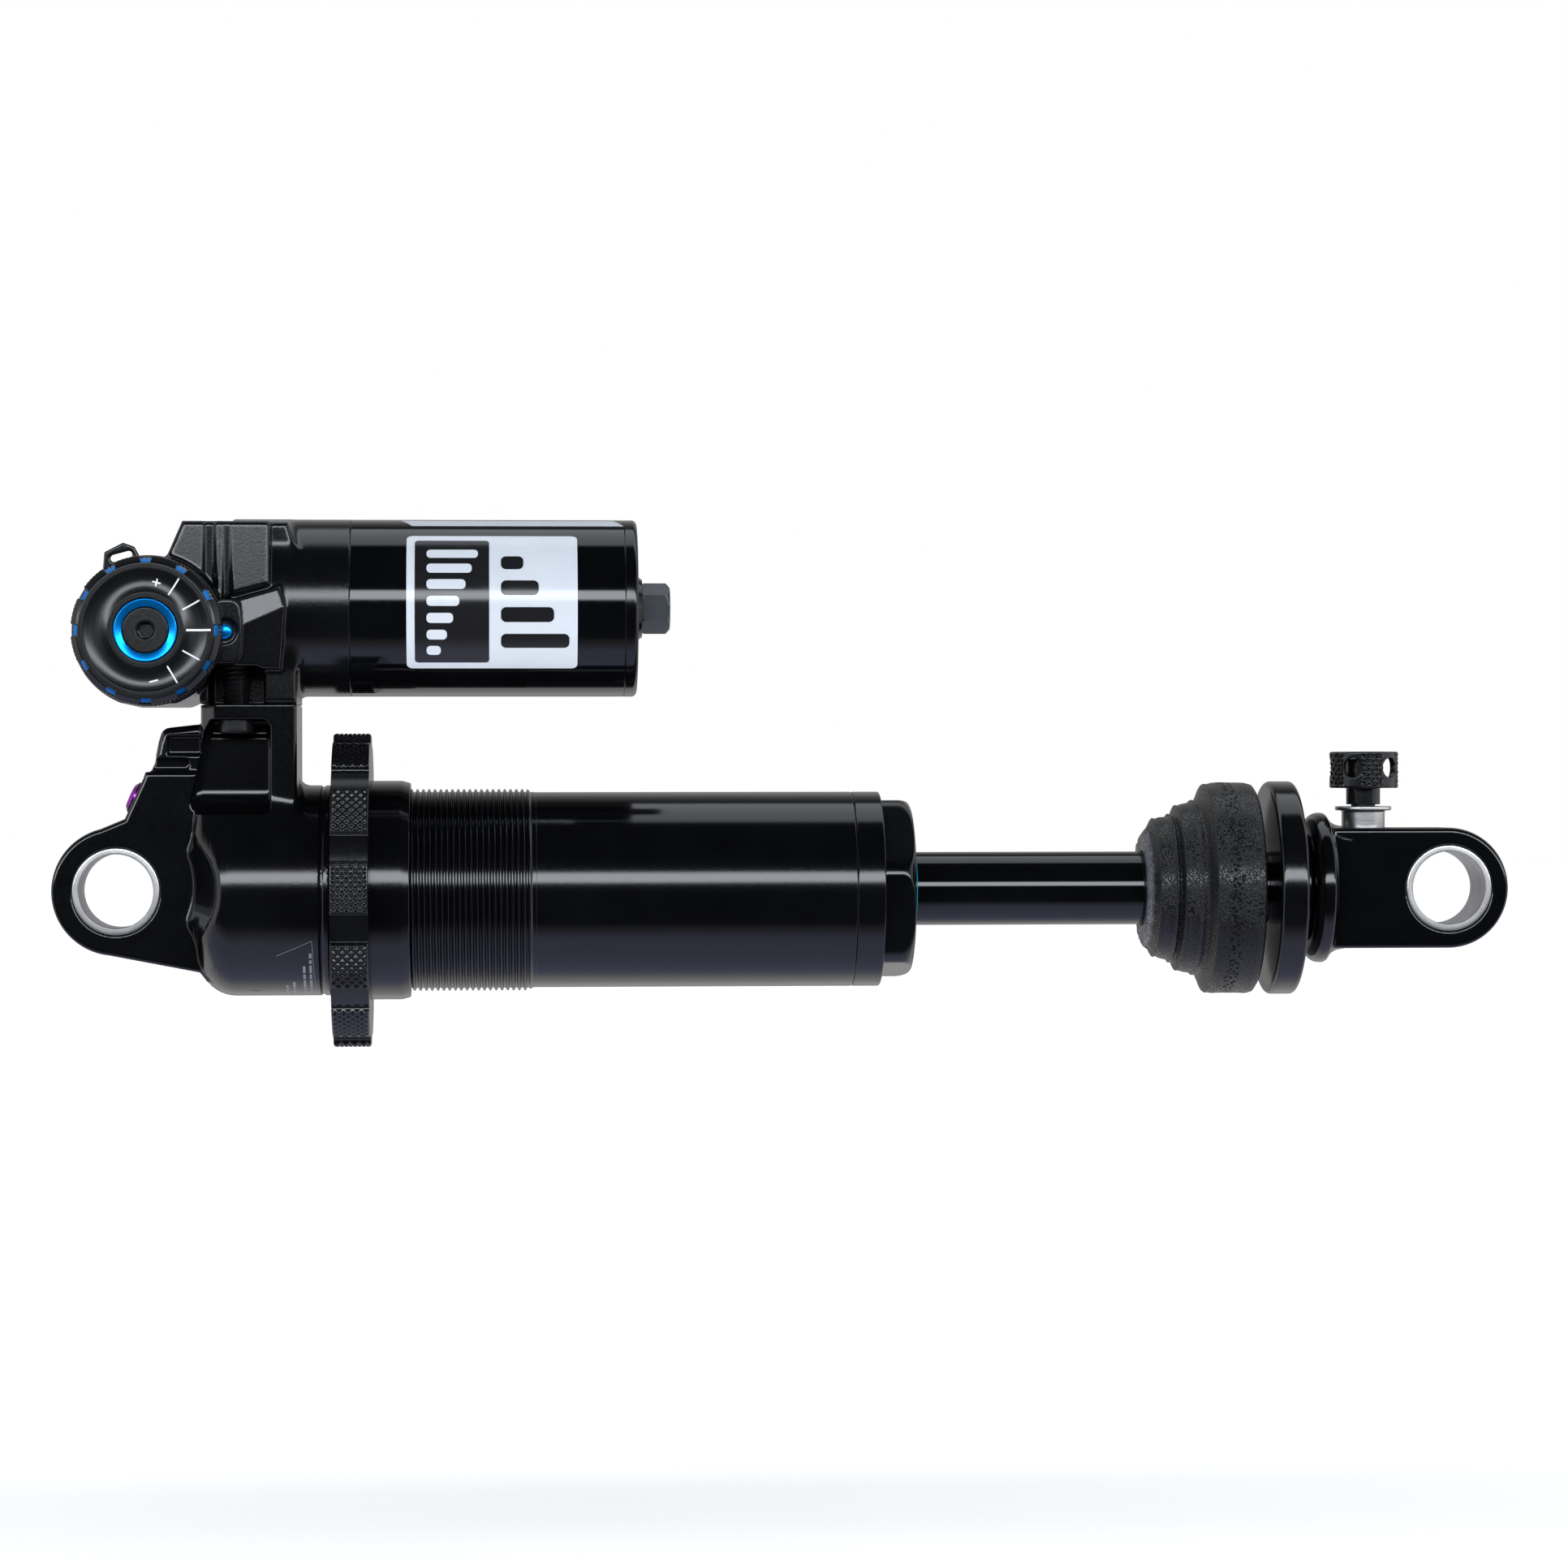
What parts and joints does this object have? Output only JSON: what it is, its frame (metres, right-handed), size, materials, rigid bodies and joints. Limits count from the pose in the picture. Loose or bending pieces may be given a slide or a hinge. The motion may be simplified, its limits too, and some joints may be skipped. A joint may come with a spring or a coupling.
{
  "type": "rear shock",
  "caption": "Bicycle rear coil shock without its spring: damper with preload collar, foam bumper, eyelets and a piggyback gas reservoir with compression and rebound adjusters.",
  "frame": {"origin": "centre of the head eyelet's bore", "axes": "+X along the damper to the far eyelet, +Z towards the reservoir, Y along both eyelet bores with the adjuster dial on the -Y side"},
  "size_m": [0.2514, 0.054, 0.0908],
  "materials": {
    "black_anodised": "gloss black hard anodised",
    "cast_black": "satin black over a fine cast grain",
    "shaft_coating": "polished shaft with a black low-friction coating",
    "bush_steel": "steel-backed bush with a grey-bronze liner",
    "steel": "plain ground steel",
    "black_steel": "black oxide",
    "blue_anodised": "bright blue anodised",
    "purple_anodised": "purple anodised",
    "silver_aluminium": "turned, clear anodised",
    "foam": "dark grey microcellular foam",
    "seal_rubber": "nitrile rubber",
    "wiper": "cyan polyurethane",
    "glide_plastic": "filled PTFE",
    "inner_aluminium": "machined, clear anodised",
    "brass": "turned brass"
  },
  "bodies": {
    "damper": {"damper_head": "black_anodised", "head_eyelet_bush": "bush_steel", "bleed_screw": "purple_anodised", "damper_tube": "black_anodised", "seal_head": "black_anodised", "shaft_bushing": "glide_plastic", "shaft_seal": "seal_rubber", "shaft_wiper": "wiper", "seal_head_oring": "seal_rubber", "reservoir_head": "cast_black", "reservoir_bolts": "black_steel", "reservoir_tube": "black_anodised", "reservoir_orings": "seal_rubber", "reservoir_end_cap": "black_anodised", "fill_valve": "brass", "valve_cap": "black_anodised", "compression_body": "inner_aluminium", "base_valve": "inner_aluminium", "base_valve_shims": "steel", "detent_spring": "steel", "detent_ball": "steel", "dial_pointer": "blue_anodised"},
    "floating_piston": {"floating_piston": "inner_aluminium", "floating_piston_oring": "seal_rubber"},
    "shaft": {"shaft": "shaft_coating", "main_piston": "inner_aluminium", "piston_band": "glide_plastic", "compression_shims": "steel", "rebound_shims": "steel", "piston_nut": "steel", "top_out_bumper": "seal_rubber", "bumper": "foam", "shaft_eyelet": "black_anodised", "shaft_eyelet_bush": "bush_steel", "rebound_sleeve": "silver_aluminium"},
    "rebound_rod": {"rebound_rod": "inner_aluminium"},
    "rebound_knob": {"rebound_knob": "cast_black"},
    "spring_retainer": {"spring_retainer": "black_anodised"},
    "spring_guide": {"spring_guide": "black_anodised"},
    "preload_collar": {"preload_collar": "black_anodised"},
    "lsc_dial": {"lsc_dial": "black_anodised", "dial_core": "blue_anodised"},
    "hsc_adjuster": {"hsc_ring": "blue_anodised", "hsc_screw": "black_steel"},
    "threshold_lever": {"threshold_lever": "black_anodised"},
    "compression_needle": {"compression_needle": "steel"}
  },
  "joints": [
    {"name": "shaft_slide", "type": "slide", "parent": "damper", "child": "shaft", "axis": [-1, 0, 0], "range_m": [0, 0.0575], "stiffness_N_per_m": 1000, "springref_m": -0.15, "deforming": ["bumper"]},
    {"name": "floating_piston_slide", "type": "slide", "parent": "damper", "child": "floating_piston", "axis": [1, 0, 0], "range_m": [0, 0.0128]},
    {"name": "spring_retainer_turn", "type": "hinge", "parent": "shaft", "child": "spring_retainer", "pos_m": [0.2011, 0, 0], "axis": [1, 0, 0], "continuous": true},
    {"name": "spring_guide_slide", "type": "slide", "parent": "damper", "child": "spring_guide", "axis": [1, 0, 0], "range_m": [0, 0.012]},
    {"name": "preload_collar_turn", "type": "hinge", "parent": "spring_guide", "child": "preload_collar", "pos_m": [0.0401, 0, 0], "axis": [1, 0, 0], "range_deg": [0, 4320]},
    {"name": "lsc_dial_turn", "type": "hinge", "parent": "damper", "child": "lsc_dial", "pos_m": [0.0064, 0, 0.044], "axis": [0, -1, 0], "range_deg": [-56, 56]},
    {"name": "compression_needle_slide", "type": "slide", "parent": "damper", "child": "compression_needle", "axis": [0, 1, 0], "range_m": [-0.00097, 0.00097]},
    {"name": "hsc_adjuster_turn", "type": "hinge", "parent": "damper", "child": "hsc_adjuster", "pos_m": [0.0064, 0, 0.044], "axis": [0, -1, 0], "range_deg": [-90, 90]},
    {"name": "threshold_lever_turn", "type": "hinge", "parent": "damper", "child": "threshold_lever", "pos_m": [0.0064, 0, 0.044], "axis": [0, -1, 0], "range_deg": [0, 45]},
    {"name": "rebound_knob_turn", "type": "hinge", "parent": "shaft", "child": "rebound_knob", "pos_m": [0.2161, 0, 0.02], "axis": [0, 0, 1], "range_deg": [-360, 360]},
    {"name": "rebound_rod_slide", "type": "slide", "parent": "shaft", "child": "rebound_rod", "axis": [1, 0, 0], "range_m": [-0.001, 0.001]}
  ],
  "couplings": [
    {"joint": "floating_piston_slide", "follows": "shaft_slide", "ratio": 0.22125},
    {"joint": "preload_collar_turn", "follows": "spring_guide_slide", "rad_per_m": 6283},
    {"joint": "lsc_dial_turn", "follows": "compression_needle_slide", "rad_per_m": 1000},
    {"joint": "rebound_knob_turn", "follows": "rebound_rod_slide", "rad_per_m": 6283}
  ]
}
